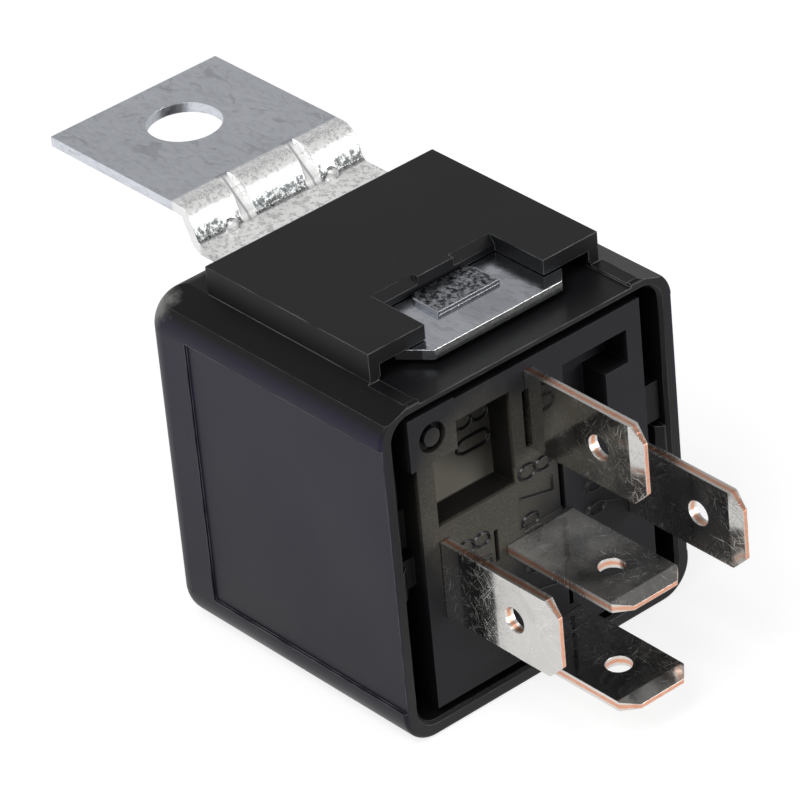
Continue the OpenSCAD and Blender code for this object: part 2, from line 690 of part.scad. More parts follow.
module moving_contact() color([0.82, 0.81, 0.78]) opened() translate([0, 0, contact_z - yoke_z]) {
    xbar(-arm_t - leaf_t - 0.1, -arm_t + 0.1, 0, 0, shank_r);
    xbar(-arm_t + 0.02, -arm_t + head_h, 0, 0, head_r);
    xbar(-arm_t - leaf_t - head_h, -arm_t - leaf_t - 0.02, 0, 0, head_r);
}

// leaf spring: flat on the yoke, round its edge, down the armature
module contact_spring() color([0.72, 0.48, 0.26]) {
    w = leaf_w / 2;
    v = leaf_end_w / 2;
    difference() {
        union() {
            // flat part
            translate([hinge_x, 0, yoke_z]) box([leaf_cx, -w, 0.01], [leaf_len, w, leaf_t]);
            // bend
            translate([hinge_x, 0, yoke_z]) across(leaf_w) translate([leaf_cx, -leaf_r])
                ring_part(leaf_r + 0.01, leaf_r + leaf_t, 90, 180 - open_a);
            // leg
            opened() rotate([0, -90, 0]) translate([0, 0, arm_t + 0.01]) linear_extrude(height = leaf_t - 0.01)
                polygon([[leaf_cz, -w], [leaf_cz, w], [leaf_low + 7.6, w], [leaf_low + 4.1, v], [leaf_low, v],
                         [leaf_low, -v], [leaf_low + 4.1, -v], [leaf_low + 7.6, -w]]);
        }
        // window over the bend
        box([hinge_x - 3, -1.7, yoke_z - 3.4], [hinge_x + 1.4, 1.7, yoke_z + 1.6]);
        for (s = [-1, 1]) {
            translate([hinge_x + rivet_x, s * rivet_y, yoke_z - 1]) cylinder(r = rivet_r + 0.06, h = 3);
            opened() xbar(-arm_t - 1, 0, s * rivet_y, -rivet_z, rivet_r + 0.06);
        }
        opened() xbar(-arm_t - 1, 0, 0, contact_z - yoke_z, shank_r + 0.06);
    }
}

module yoke_rivets() color([0.74, 0.72, 0.68]) for (s = [-1, 1])
    translate([hinge_x + rivet_x, s * rivet_y, yoke_z]) {
        translate([0, 0, -yoke_t + 0.05]) cylinder(r = rivet_r, h = yoke_t + leaf_t);
        translate([0, 0, leaf_t + 0.01]) cylinder(r = rivet_head_r, h = rivet_head_h);
    }

// ---------- fixed contacts ----------

module no_contact() color([0.82, 0.81, 0.78]) {
    xbar(no_x, no_x + seat_t - 0.01, 0, contact_z, head_r);
    xbar(no_x + seat_t - 0.1, no_x + seat_t + blade_t + 0.2, 0, contact_z, shank_r);
}

module nc_contact() color([0.82, 0.81, 0.78]) {
    xbar(nc_x - seat_t + 0.01, nc_x, 0, contact_z, head_r);
    xbar(nc_x - seat_t - blade_t, nc_x - seat_t + 0.1, 0, contact_z, shank_r);
}

// ---------- nodes ----------

cover();
base_plate();
mounting_bracket();
terminal_30();
terminal_85();
terminal_86();
terminal_87();
terminal_87a();
yoke();
core();
bobbin();
coil_winding();
armature();
contact_spring();
moving_contact();
no_contact();
nc_contact();
yoke_rivets();
armature_rivets();
coil_lead_85();
coil_lead_86();
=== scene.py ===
# %% [markdown]
# # A plug-in changeover relay and its bracket
# The relay comes from the CAD program as a fixed frame: every node is already in its place, in
# metres. Here it gets what CAD leaves out: finishes, moulded numbers, real turns on the coil, and
# a leaf spring.

# %% load the frame
import json
import math

import bpy
import numpy as np
from mathutils import Matrix, Vector


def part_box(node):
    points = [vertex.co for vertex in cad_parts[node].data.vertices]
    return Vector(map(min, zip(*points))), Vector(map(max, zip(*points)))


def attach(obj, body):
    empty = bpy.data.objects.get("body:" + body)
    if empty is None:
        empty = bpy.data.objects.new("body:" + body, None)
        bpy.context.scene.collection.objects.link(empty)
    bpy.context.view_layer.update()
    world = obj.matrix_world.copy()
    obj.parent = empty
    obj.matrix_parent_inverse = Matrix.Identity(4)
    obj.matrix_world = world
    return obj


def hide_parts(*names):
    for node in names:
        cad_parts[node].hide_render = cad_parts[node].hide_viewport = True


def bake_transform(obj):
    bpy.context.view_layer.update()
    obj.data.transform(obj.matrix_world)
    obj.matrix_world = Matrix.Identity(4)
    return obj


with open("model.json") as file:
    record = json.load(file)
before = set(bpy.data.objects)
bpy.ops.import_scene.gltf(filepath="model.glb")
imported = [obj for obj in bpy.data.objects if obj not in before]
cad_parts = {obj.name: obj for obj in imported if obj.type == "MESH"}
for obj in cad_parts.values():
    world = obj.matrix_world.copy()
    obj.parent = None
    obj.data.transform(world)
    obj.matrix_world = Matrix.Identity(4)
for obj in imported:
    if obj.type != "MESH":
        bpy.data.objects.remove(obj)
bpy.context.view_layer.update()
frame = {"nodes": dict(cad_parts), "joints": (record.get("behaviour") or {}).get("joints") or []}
nodes = frame["nodes"]
mm = 0.001
print("nodes:", len(nodes))

# %% [markdown]
# ## Where things are
# Places come from the boxes of the CAD nodes, so the scene follows the frame. The rim is the
# cover's open end. The base plate's face lies a little behind the front of its raised corner tab.

# %% places
tab_height = 0.08 * mm
cover_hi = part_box("cover")[1]
face_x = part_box("base_plate")[1].x - tab_height
hinge = Vector(frame["joints"][0]["pos_m"])
print("rim", round(cover_hi.x / mm, 2), "base face", round(face_x / mm, 2),
      "hinge", [round(c / mm, 2) for c in hinge])

# %% [markdown]
# ## Camera
# A long lens from the blade side, above and to the left, keeps the box's edges nearly parallel.
# A tracking constraint could aim it, but would set its roll by itself. Here the direction comes
# from two angles, is rolled by a third, and three perpendicular directions make the matrix.

# %% camera
azimuth, elevation, roll = math.radians(38.408), math.radians(32.616), math.radians(-5.498)
lens, distance = 253.657845, 0.405412
aim = Vector((cover_hi.x - 14.637 * mm, 0, 16.562 * mm))
toward = Vector((math.cos(elevation) * math.cos(azimuth),
                 -math.cos(elevation) * math.sin(azimuth), math.sin(elevation)))
right = Vector((0, 0, 1)).cross(toward).normalized()
up = toward.cross(right)
side = right * math.cos(roll) + up * math.sin(roll)
upright = -right * math.sin(roll) + up * math.cos(roll)
turned = Matrix((side, upright, toward)).transposed().to_4x4()
camera = bpy.data.objects.new("camera", bpy.data.cameras.new("camera"))
bpy.context.scene.collection.objects.link(camera)
camera.data.lens = lens
camera.data.clip_start = 0.01
camera.matrix_world = Matrix.Translation(aim + toward * distance) @ turned
bpy.context.scene.camera = camera
bpy.context.scene.view_settings.view_transform = "Standard"
print("camera", [round(c, 3) for c in camera.location], "lens", round(camera.data.lens, 1))

# %% [markdown] ## A small kit for node trees A finish is a tree of nodes, and each node takes
# several lines to make, set and link.

# %% node kit
class Nodes:
    """A node tree, with short calls that make one node each and return its output."""

    def __init__(self, tree):
        self.tree = tree

    def put(self, value, socket):
        """Links an output, or writes a plain number or colour, into a socket."""
        if isinstance(value, bpy.types.NodeSocket):
            self.tree.links.new(value, socket)
        elif hasattr(value, "__len__") and len(socket.default_value) == 4:
            socket.default_value = (*value, 1)
        else:
            socket.default_value = value

    def node(self, kind, inputs=None, **settings):
        """A new node with its own settings, and with its inputs linked or written."""
        made = self.tree.nodes.new("ShaderNode" + kind)
        for key, value in settings.items():
            setattr(made, key, value)
        for key, value in (inputs or {}).items():
            self.put(value, made.inputs[key])
        return made

    def math(self, kind, a, b=0.0):
        return self.node("Math", {0: a, 1: b}, operation=kind).outputs[0]

    def times(self, a, b):
        return self.math("MULTIPLY", a, b)

    def plus(self, a, b):
        return self.math("ADD", a, b)

    def minus(self, a, b):
        return self.math("SUBTRACT", a, b)

    def off(self, value, middle=None):
        """How far a value is from middle, or from zero, on either side."""
        return self.math("ABSOLUTE", value if middle is None else self.minus(value, middle))

    def mix(self, share, a, b):
        """Number a where share is 0, number b where it is 1."""
        return self.node("Mix", {0: share, 2: a, 3: b}, data_type="FLOAT").outputs[0]

    def blend(self, share, a, b):
        """Colour a where share is 0, colour b where it is 1."""
        return self.node("Mix", {"Factor": share, 6: a, 7: b}, data_type="RGBA").outputs[2]

    def paint(self, tone, *layers):
        """Lays (mask, colour) layers over a tone, one after the other."""
        for mask, colour in layers:
            tone = self.blend(mask, tone, colour)
        return tone

    def steps(self, value, low, high, to_low=0.0, to_high=1.0, kind="SMOOTHSTEP"):
        """As the value goes from low to high, the result goes smoothly from to_low to to_high."""
        inputs = {"Value": value, "From Min": low, "From Max": high,
                  "To Min": to_low, "To Max": to_high}
        return self.node("MapRange", inputs, interpolation_type=kind).outputs["Result"]

    def between(self, value, rise, fall):
        """A band: 0 to 1 over the two numbers of rise, and back to 0 over the two of fall."""
        return self.times(self.steps(value, *rise), self.steps(value, *fall, 1, 0))


print("node calls:", ", ".join(k for k in vars(Nodes) if not k.startswith("_")))

# %% [markdown]
# ## A small kit for finishes
# Each finish starts from a Principled shader. Patterns read Object coordinates, which are metres
# here, so a noise of scale 1000 has grains of about a millimetre. A moulded or stamped edge is
# never quite sharp, so a shader bevel rounds it in the light, and the CAD mesh stays as it is.

# %% finish kit
class Finish(Nodes):
    """One material: a Principled shader and the patterns that feed it."""

    def __init__(self, name):
        self.material = bpy.data.materials.new(name)
        self.material.use_nodes = True
        super().__init__(self.material.node_tree)
        self.shader = self.tree.nodes["Principled BSDF"]
        self.where = self.node("TexCoord").outputs

    def set(self, name, value):
        self.put(value, self.shader.inputs[name])

    def axis(self, name, of="Object"):
        """One component, X, Y or Z, of a coordinate output."""
        return self.node("SeparateXYZ", {0: self.where[of]}).outputs[name]

    def place(self, scale=(1, 1, 1), turn=(0, 0, 0), shift=(0, 0, 0)):
        """Object coordinates, turned and moved by one Mapping node, then stretched by a second."""
        inputs = {"Vector": self.where["Object"], "Rotation": turn, "Location": shift}
        moved = self.node("Mapping", inputs).outputs["Vector"]
        return self.node("Mapping", {"Vector": moved, "Scale": scale}).outputs["Vector"]

    def distance(self, place):
        """How far a point is from the origin of a set of coordinates."""
        return self.node("VectorMath", {0: place}, operation="LENGTH").outputs["Value"]

    def noise(self, scale, detail=3.0, rough=0.5, where=None, twist=0.0):
        inputs = {"Vector": where or self.where["Object"], "Scale": scale, "Detail": detail,
                  "Roughness": rough, "Distortion": twist}
        return self.node("TexNoise", inputs).outputs["Fac"]

    def dots(self, scale):
        """The distance to the nearest of many scattered points."""
        inputs = {"Vector": self.where["Object"], "Scale": scale}
        return self.node("TexVoronoi", inputs).outputs["Distance"]

    def rounded(self, radius):
        """The normal that the surface would have with its sharp edges rounded."""
        return self.node("Bevel", {"Radius": radius}, samples=6).outputs["Normal"]

    def corner(self, radius):
        """0 on flat faces, rising near an edge as the rounded normal leans from the true one."""
        true = self.node("NewGeometry").outputs["True Normal"]
        lean = self.node("VectorMath", {0: self.rounded(radius), 1: true}, operation="DOT_PRODUCT")
        return self.minus(1.0, lean.outputs["Value"])

    def relief(self, height, depth, strength, edge=0.0):
        """Bump from a height, over edges that are rounded to the radius edge."""
        inputs = {"Strength": strength, "Distance": depth, "Height": height}
        if edge:
            inputs["Normal"] = self.rounded(edge)
        self.set("Normal", self.node("Bump", inputs).outputs["Normal"])


def dress(finish, *names):
    """Gives a finish to CAD nodes, in their material slots."""
    for name in names:
        slots = nodes[name].data.materials
        slots.clear()
        slots.append(finish.material)
    print(finish.material.name, "on", ", ".join(names))


print("finish calls:", ", ".join(k for k in vars(Finish) if not k.startswith("_")))

# %% [markdown]
# ## Cover plastic
# The cover is glass-filled nylon from a finely eroded mould: nearly black, satin, with a very
# fine grain. Its two sides get a painted violet sheen, with painted shade that deepens downwards.
# Dust catches in the grain, handling leaves broad shinier areas, and the edges get a painted
# highlight, mixed with rubbing, here and there, with the corner that knocks against things first
# rubbed grey. A mask is made for each of these, from places and noise, and then each is painted
# over the black in turn, which keeps them apart.

# %% cover plastic: masks
cover = Finish("cover_plastic")
handled = cover.noise(120, 3)
dusty = cover.times(cover.steps(cover.dots(1300), 0.035, 0.06, 1, 0),
                    cover.steps(cover.noise(500, 2), 0.5, 0.62))
# painted highlight along the edges, mixed with real rubbing and broken up by noise
rubbed_edge_highlight = cover.times(cover.steps(cover.corner(0.11 * mm), 0.03, 0.14),
                     cover.steps(cover.noise(300, 2), 0.30, 0.60))
knocked_corner = cover.place(shift=(12.2 * mm, 13.0 * mm, -26.8 * mm))
ragged = cover.plus(cover.distance(knocked_corner), cover.times(cover.noise(900, 5, 0.7), 2.6 * mm))
worn = cover.steps(ragged, 2.0 * mm, 3.5 * mm, 1, 0)
# painted violet sheen on the two sides, with painted shade that darkens it downwards
side_sheen = cover.steps(cover.off(cover.axis("Y")), cover_hi.y - 0.6 * mm, cover_hi.y - 0.1 * mm)
shade_fading_upwards = cover.steps(cover.axis("Z"), 0.0, 24 * mm)
print("sides beyond Y =", round((cover_hi.y - 0.6 * mm) / mm, 2), "mm either way")

# %% cover plastic: colour, gloss and grain
black = cover.blend(handled, (0.0056, 0.0058, 0.0066), (0.0082, 0.0084, 0.0096))
# painted violet sheen, and a darker copy of it as painted shade low on the sides
violet_sheen = cover.blend(handled, (0.0085, 0.0072, 0.0215), (0.0120, 0.0104, 0.0300))
shaded_violet_sheen = cover.blend(handled, (0.0025, 0.0021, 0.0080), (0.0040, 0.0034, 0.0120))
gloss = cover.steps(handled, 0.3, 0.7, 0.36, 0.43)
cover.set("Base Color", cover.paint(
    black,
    (side_sheen, cover.blend(shade_fading_upwards, shaded_violet_sheen, violet_sheen)),
    (cover.times(rubbed_edge_highlight, 0.9), (0.24, 0.24, 0.245)),
    (cover.times(worn, 0.9), (0.22, 0.22, 0.21)),
    (cover.times(dusty, 0.5), (0.18, 0.18, 0.18))))
cover.set("Specular IOR Level", 0.25)
cover.set("Roughness", cover.minus(gloss, cover.times(rubbed_edge_highlight, 0.12)))
cover.relief(cover.noise(9000, 2), 0.004 * mm, 0.6, edge=0.10 * mm)
dress(cover, "cover")

# %% [markdown]
# ## Base plate plastic
# The base is a stiffer compound from a coarsely eroded mould, so its bump is stronger than the
# cover's. Round a point between the blades the face gets a painted pool of warm light, in which
# its pale pits show. Further off it is cool and nearly black. Recess walls get painted shade, and
# the bottom of a pocket gets painted light that fades into painted shadow upwards and towards +Y.
# Edges get a painted highlight. How deep a point lies behind the face tells these apart, so one
# material serves the whole moulding and nothing has to be painted by hand.

# %% base plastic: masks
pocket_floor = (2.3 * mm, 2.45 * mm)
base = Finish("base_plastic")
coarse = base.noise(5200, 4, 0.7)
pits = base.steps(base.noise(11000, 3, 0.7), 0.5, 0.66)
# painted pool of warm light on the face round this point, where its pale pits show most
light_pool_centre = base.place(shift=(0, 4.5 * mm, -17.5 * mm), scale=(0.25, 1, 0.95))
ragged = base.plus(base.distance(light_pool_centre), base.times(base.noise(200, 3), 4 * mm))
painted_light_pool = base.steps(ragged, 7.5 * mm, 11.0 * mm, 1, 0)
deep = base.minus(face_x, base.axis("X"))
into_floor_shadow = base.plus(base.axis("Z"), base.times(base.axis("Y"), 0.6))
# painted shade on the walls of recesses
walls = base.between(deep, (0.2 * mm, 0.45 * mm), pocket_floor)
pits_in_light_pool = base.times(pits, base.steps(painted_light_pool, 0.0, 1.0, 0.02, 0.7))
# painted highlight along the edges
edges = base.steps(base.corner(0.06 * mm), 0.03, 0.14, 0, 0.6)
print("pocket bottoms start", round(pocket_floor[0] / mm, 2), "mm behind the face")

# %% base plastic: colour, gloss and grain
cool = base.blend(base.steps(base.axis("Z"), 6 * mm, 14 * mm),
                  (0.0030, 0.0030, 0.0050), (0.0105, 0.0105, 0.0140))
# pocket bottoms: painted light, fading into painted shadow upwards and towards +Y
bottom = base.blend(base.steps(into_floor_shadow, 14.5 * mm, 18.5 * mm),
                    (0.20, 0.187, 0.157), (0.035, 0.033, 0.028))
light_pool_colour = base.blend(base.steps(deep, *pocket_floor), (0.060, 0.056, 0.046), bottom)
base.set("Base Color", base.paint(
    cool,
    (painted_light_pool, light_pool_colour),
    (base.times(pits_in_light_pool, 0.6), (0.19, 0.18, 0.15)),
    (base.times(walls, 0.85), (0.004, 0.004, 0.004)),
    (edges, (0.085, 0.083, 0.08))))
base.set("Specular IOR Level", 0.22)
base.set("Roughness", base.steps(coarse, 0.3, 0.7, 0.46, 0.6))
base.relief(coarse, 0.02 * mm, 0.7, edge=0.06 * mm)
dress(base, "base_plate")

# %% [markdown]
# ## Plastic of the numbers
# The cutter that engraved the numbers left their grooves smoother than the eroded face round
# them, so the moulded beads are glossier than the base. Their dark colour is painted shade.

# %% number plastic
marks = Finish("base_plastic_marks")
# the dark colour is painted shade along the beads
marks.set("Base Color", (0.010, 0.010, 0.011))
marks.set("Roughness", 0.3)
marks.relief(marks.noise(9000, 2), 0.004 * mm, 0.5)
print("finish:", marks.material.name)

# %% [markdown]
# ## Zinc on the bracket
# A thin bluish zinc coat over rolled sheet. Rolling stretches its mottling along the strip, and
# passing hands leave duller clouds. In the bends the coat is crazed, and the neck below is pale and
# spotted; across the upper bend a painted highlight band lies over a painted shade band. The two
# pressed ribs get a painted highlight, with painted shade along their crease. The tongue is duller,
# and the pad that the punch pushed up is dark. All of this follows places on the bracket, so each
# mask is a band of X or Z, with noise to fray its edge.

# %% zinc: places on the bracket
rib_y, dimple_y = 3.1 * mm, 4.75 * mm
tongue_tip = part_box("mounting_bracket")[1].x
zinc = Finish("zinc_steel")
along, height, outwards = zinc.axis("X"), zinc.axis("Z"), zinc.off(zinc.axis("Y"))
facing_front = zinc.axis("X", "Normal")
bent = zinc.between(along, (-16.1 * mm, -15.7 * mm), (-9.0 * mm, -8.0 * mm))
neck = zinc.times(bent, zinc.steps(along, -13.2 * mm, -12.9 * mm))
off_sides = zinc.steps(zinc.off(zinc.axis("Y", "Normal")), 0.85, 0.95, 1, 0)
slope = zinc.times(zinc.minus(bent, neck), off_sides)
frayed = zinc.plus(height, zinc.times(zinc.minus(zinc.noise(6500, 4, 0.75), 0.5), 1.1 * mm))
# painted highlight band across the upper bend, and a painted shade band under it
lit = zinc.times(slope, zinc.between(frayed, (29.9 * mm, 30.3 * mm), (31.1 * mm, 31.5 * mm)))
dark = zinc.times(slope, zinc.between(frayed, (28.7 * mm, 29.0 * mm), (29.6 * mm, 30.5 * mm)))
dark = zinc.times(dark, zinc.steps(zinc.off(outwards, dimple_y), 0.2 * mm, 0.7 * mm))
off_rib = zinc.off(outwards, rib_y)
# painted highlight on the pressed ribs, with painted shade along the crease
rib_highlight = zinc.times(slope, zinc.steps(off_rib, 0.55 * mm, 0.75 * mm, 1, 0))
print("ribs at Y", round(rib_y / mm, 2), "dimples at Y", round(dimple_y / mm, 2), "mm either way")

# %% zinc: places on the tongue
tongue = zinc.steps(along, -1.0 * mm, 0.0)
pad_length = zinc.between(along, (3.5 * mm, 3.8 * mm), (6.78 * mm, 6.9 * mm))
pad_width = zinc.steps(outwards, 2.7 * mm, 2.85 * mm, 1, 0)
pad = zinc.times(zinc.times(pad_length, pad_width), zinc.steps(height, 28.75 * mm, 28.95 * mm))
front = zinc.times(zinc.steps(facing_front, 0.6, 0.8),
                   zinc.steps(along, tongue_tip - 0.5 * mm, tongue_tip - 0.4 * mm))
behind_tip = zinc.steps(along, tongue_tip - 0.7 * mm, tongue_tip - 0.6 * mm, 1, 0)
pad_front = zinc.times(zinc.steps(facing_front, 0.3, 0.6), zinc.times(tongue, behind_tip))
print("tongue ends at X", round(tongue_tip / mm, 2), "mm")

# %% zinc: colour
stretched = zinc.noise(1, 5, 0.65, where=zinc.place((1100, 2600, 2600)), twist=0.6)
lumps = zinc.noise(1, 2, 0.5, where=zinc.place((420, 800, 800)), twist=1.2)
cloudy = zinc.noise(150, 3)
crystal = zinc.noise(2600, 4, 0.7)
spotted = zinc.blend(zinc.steps(crystal, 0.40, 0.52), (0.60, 0.61, 0.60), (1.0, 1.0, 0.99))
highlight_tone = zinc.blend(zinc.steps(crystal, 0.40, 0.50), (0.66, 0.67, 0.66), (1.0, 1.0, 0.99))
shade_tone = zinc.blend(zinc.steps(crystal, 0.46, 0.58), (0.05, 0.053, 0.053), (0.22, 0.225, 0.225))
rib_highlight_crease_shade = zinc.blend(zinc.steps(off_rib, 0.06 * mm, 0.14 * mm),
                    (0.45, 0.46, 0.47), (0.93, 0.93, 0.92))
sheared = zinc.blend(zinc.steps(height, 28.1 * mm, 28.4 * mm),
                     (0.34, 0.35, 0.36), (0.95, 0.95, 0.94))
zinc.set("Base Color", zinc.paint(
    zinc.blend(cloudy, (0.66, 0.685, 0.745), (0.78, 0.805, 0.86)),
    (zinc.steps(stretched, 0.45, 0.68, 0, 0.35), (0.45, 0.465, 0.50)),
    (zinc.steps(lumps, 0.60, 0.68, 0, 0.35), (0.36, 0.37, 0.40)),
    (zinc.times(tongue, zinc.steps(cloudy, 0.35, 0.65, 0.15, 0.65)), (0.30, 0.315, 0.35)),
    (zinc.times(bent, 0.85), (0.90, 0.90, 0.89)),
    (neck, spotted),
    (lit, highlight_tone),
    (dark, shade_tone),
    (rib_highlight, rib_highlight_crease_shade),
    (pad_front, (0.22, 0.22, 0.23)),
    (front, sheared),
    (zinc.times(pad, zinc.steps(crystal, 0.42, 0.6, 1, 0.25)), (0.03, 0.032, 0.035))))
print("zinc nodes:", len(zinc.tree.nodes))

# %% zinc: gloss and relief
chalky_neck_and_highlight = zinc.plus(zinc.times(neck, 0.85), zinc.times(lit, 0.65))
zinc.set("Metallic", zinc.minus(1.0, zinc.math("MAXIMUM", chalky_neck_and_highlight, zinc.times(rib_highlight, 0.8))))
shine = zinc.minus(zinc.steps(stretched, 0.35, 0.65, 0.30, 0.42), zinc.times(tongue, 0.17))
shine = zinc.plus(zinc.minus(shine, zinc.times(bent, 0.13)), zinc.times(rib_highlight, 0.2))
zinc.set("Roughness", zinc.plus(shine, zinc.times(pad, 0.05)))
crazed = zinc.times(crystal, zinc.plus(zinc.times(bent, 2.6), zinc.times(pad, 2.2)))
mottled = zinc.plus(stretched, zinc.times(lumps, 2.0))
zinc.relief(zinc.plus(mottled, crazed), 0.014 * mm, 0.6, edge=0.08 * mm)
dress(zinc, "mounting_bracket")

# %% [markdown]
# ## Tinned blades
# The strip is tinned before it is stamped, so faces and bevels are bright tin. The punch smears
# some tin over the sheared edges and leaves them finely ribbed, and bare copper shows only as a
# thin line along their middle. Tin is soft, so it is full of fine scratches that run every way.
# A scratch is a noise stretched until its grains are hairs; a few of these, each turned another
# way, cover all directions. The scratches are painted lighter than the tin, as painted glints. A
# blade lies flat or stands on edge, so there are two finishes: each knows its thickness direction,
# and finds the copper line from the nearest blade's middle plane.

# %% scratches in tin
FINE_TURNS, LONG_TURNS = (0.25, 0.8, 1.2, 1.9, 2.5), (0.55, 1.6, 2.9)


def scratches(tin, flat):
    """The highest of eight noises, each squeezed in one direction and turned by its own angle."""
    highest = None
    for k, turn in enumerate(FINE_TURNS + LONG_TURNS):
        fine = turn in FINE_TURNS
        spin = (0, 0, turn) if flat else (0, turn, 0)
        stretch = np.array((17000, 700, 1500) if flat else (17000, 1500, 700))
        stretch = (stretch * (1 if fine else 0.6)).tolist()
        shifted = tin.place(stretch, spin, (0.037 * k, 0.013 * k, 0.021 * k))
        hairs = tin.noise(1, 2, 0.5, where=shifted, twist=0.1)
        hairs = tin.steps(hairs, 0.645, 0.71, 0, 0.6) if fine else tin.steps(hairs, 0.715, 0.745)
        highest = hairs if highest is None else tin.math("MAXIMUM", highest, hairs)
    return tin.times(highest, tin.steps(tin.noise(230, 3, 0.6), 0.36, 0.56, 0.35, 1.0))


print("directions of scratches:", len(FINE_TURNS + LONG_TURNS))

# %% tin with copper in its sheared edges
def from_nearest(tin, thickness_axis, middle, spacing):
    """The distance to the nearest of the planes middle + n * spacing, as a share of spacing."""
    planes_away = tin.math("DIVIDE", tin.minus(tin.axis(thickness_axis), middle), spacing)
    return tin.off(planes_away, tin.math("ROUND", planes_away))


def tin_finish(name, thickness_axis, middle, spacing, dullness):
    """Tin where the normal lies along thickness_axis, a cut edge with a copper line elsewhere."""
    tin = Finish(name)
    flat = thickness_axis == "Z"
    scratch_glint, haze = scratches(tin, flat), tin.noise(260, 4)
    stain = tin.steps(tin.noise(330, 3, twist=0.8), 0.5, 0.62)
    busy = tin.plus(tin.times(tin.steps(tin.noise(190, 2), 0.45, 0.6), 0.8), 0.2)
    speck = tin.times(tin.steps(tin.noise(9000, 4, 0.75), 0.62, 0.70), busy)
    cut = tin.steps(tin.off(tin.axis(thickness_axis, "Normal")), 0.3, 0.5, 1, 0)
    smeared = tin.noise(1, 3, 0.6, where=tin.place((500, 2200, 2200)))
    wander = tin.plus(from_nearest(tin, thickness_axis, middle, spacing),
                      tin.times(smeared, 0.2 * mm / spacing))
    bare = tin.times(cut, tin.steps(wander, 0.20 * mm / spacing, 0.29 * mm / spacing, 1, 0))
    tinged = tin.times(cut, tin.steps(wander, 0.30 * mm / spacing, 0.45 * mm / spacing, 1, 0))
    body = tin.paint(
        tin.blend(haze, (0.56, 0.55, 0.53), (0.72, 0.71, 0.69)),
        (tin.times(stain, 0.22), (0.34, 0.33, 0.29)),
        (tin.times(speck, 0.7), (0.85, 0.84, 0.82)))
    if flat:
        # the upper flat blade is darker towards its tip
        darker_tip_band = tin.times(tin.steps(tin.axis("Z"), 9 * mm, 10 * mm),
                              tin.steps(tin.axis("X"), 16 * mm, 20 * mm))
        body = tin.blend(tin.times(darker_tip_band, 0.75), body, (0.25, 0.245, 0.23))
    tin.set("Base Color", tin.paint(
        body,
        # scratches painted near white: real scratches, lightened as painted glints
        (scratch_glint, (1.0, 1.0, 0.99)),
        (tin.times(cut, 0.7), (0.84, 0.83, 0.81)),
        (tin.times(tinged, 0.75), (0.80, 0.66, 0.58)),
        (bare, tin.blend(tin.noise(1500, 3), (0.66, 0.27, 0.16), (0.88, 0.52, 0.38)))))
    dull = tin.steps(tin.axis("Z"), 5 * mm, 9 * mm, 0.15 * dullness, dullness)
    tin.set("Metallic", tin.minus(1.0, tin.times(tin.steps(haze, 0.35, 0.65, 0.3, 1.0), dull)))
    rough = tin.times(tin.math("MAXIMUM", scratch_glint, speck), 0.4)
    rough = tin.plus(tin.steps(haze, 0.35, 0.65, 0.05, 0.12), rough)
    tin.set("Roughness", tin.plus(rough, tin.times(cut, 0.2)))
    ribbed = tin.noise(1, 2, where=tin.place((3600, 3600, 250) if flat else (3600, 250, 3600)))
    dents = tin.plus(tin.times(speck, 0.5), tin.times(haze, 6.0))
    dents = tin.plus(dents, tin.times(tin.times(cut, ribbed), 6.0))
    tin.relief(tin.minus(dents, scratch_glint), 0.004 * mm, 0.6, edge=0.07 * mm)
    return tin


coil_blade_y = sum((corner.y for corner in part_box("terminal_86")), 0.0) / 2
blade_t, flat_blade_pitch = 0.8 * mm, 8.4 * mm
make_blade_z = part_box("terminal_87")[0].z + blade_t / 2
print("blade planes in mm: Y 0 and", round(coil_blade_y / mm, 2), "Z", round(make_blade_z / mm, 2))

# %% tin on the blades
tin_upright = tin_finish("tinned_blade_upright", "Y", 0.0, coil_blade_y, dullness=0.05)
tin_flat = tin_finish("tinned_blade_flat", "Z", make_blade_z, flat_blade_pitch, dullness=0.20)
dress(tin_upright, "terminal_30", "terminal_85", "terminal_86")
dress(tin_flat, "terminal_87", "terminal_87a")

# %% [markdown]
# ## Finishes inside the cover
# The magnet is plated iron, punched and a little rough. The bobbin is dark nylon, the contacts
# silver with a dull sulphide film, the rivets bright, and the leaf is cold-rolled bronze. The
# metals differ only in colour, gloss and grain, so one function makes them all.

# %% inner metals
def metal(name, dark, light, roughness, scale, depth):
    """A metal with clouded colour, roughness that follows the cloud, and fine rolling marks."""
    finish = Finish(name)
    cloud = finish.noise(scale, 4)
    rolled = finish.noise(1, 3, where=finish.place((300, 9000, 9000)))
    finish.set("Metallic", 1.0)
    finish.set("Base Color", finish.blend(cloud, dark, light))
    finish.set("Roughness", finish.steps(cloud, 0.3, 0.7, roughness * 0.8, roughness * 1.2))
    finish.relief(finish.plus(rolled, finish.times(cloud, 0.5)), depth, 0.5, edge=0.06 * mm)
    return finish


iron = metal("soft_iron", (0.50, 0.50, 0.49), (0.66, 0.66, 0.64), 0.34, 800, 0.006 * mm)
rivet = metal("rivet_steel", (0.62, 0.61, 0.58), (0.78, 0.76, 0.72), 0.28, 1500, 0.004 * mm)
silver = metal("contact_silver", (0.60, 0.58, 0.54), (0.84, 0.83, 0.80), 0.26, 1800, 0.004 * mm)
bronze = metal("spring_bronze", (0.60, 0.38, 0.20), (0.78, 0.54, 0.32), 0.27, 700, 0.004 * mm)
dress(iron, "yoke", "core", "armature")
dress(rivet, "yoke_rivets", "armature_rivets")
dress(silver, "moving_contact", "no_contact", "nc_contact")
dress(bronze, "contact_spring")

# %% bobbin and wire
bobbin = Finish("bobbin_plastic")
flow = bobbin.noise(500, 4)
bobbin.set("Base Color", bobbin.blend(flow, (0.03, 0.03, 0.032), (0.055, 0.055, 0.06)))
bobbin.set("Roughness", bobbin.steps(flow, 0.3, 0.7, 0.42, 0.58))
bobbin.relief(bobbin.noise(7000, 2), 0.006 * mm, 0.6, edge=0.1 * mm)
dress(bobbin, "bobbin")

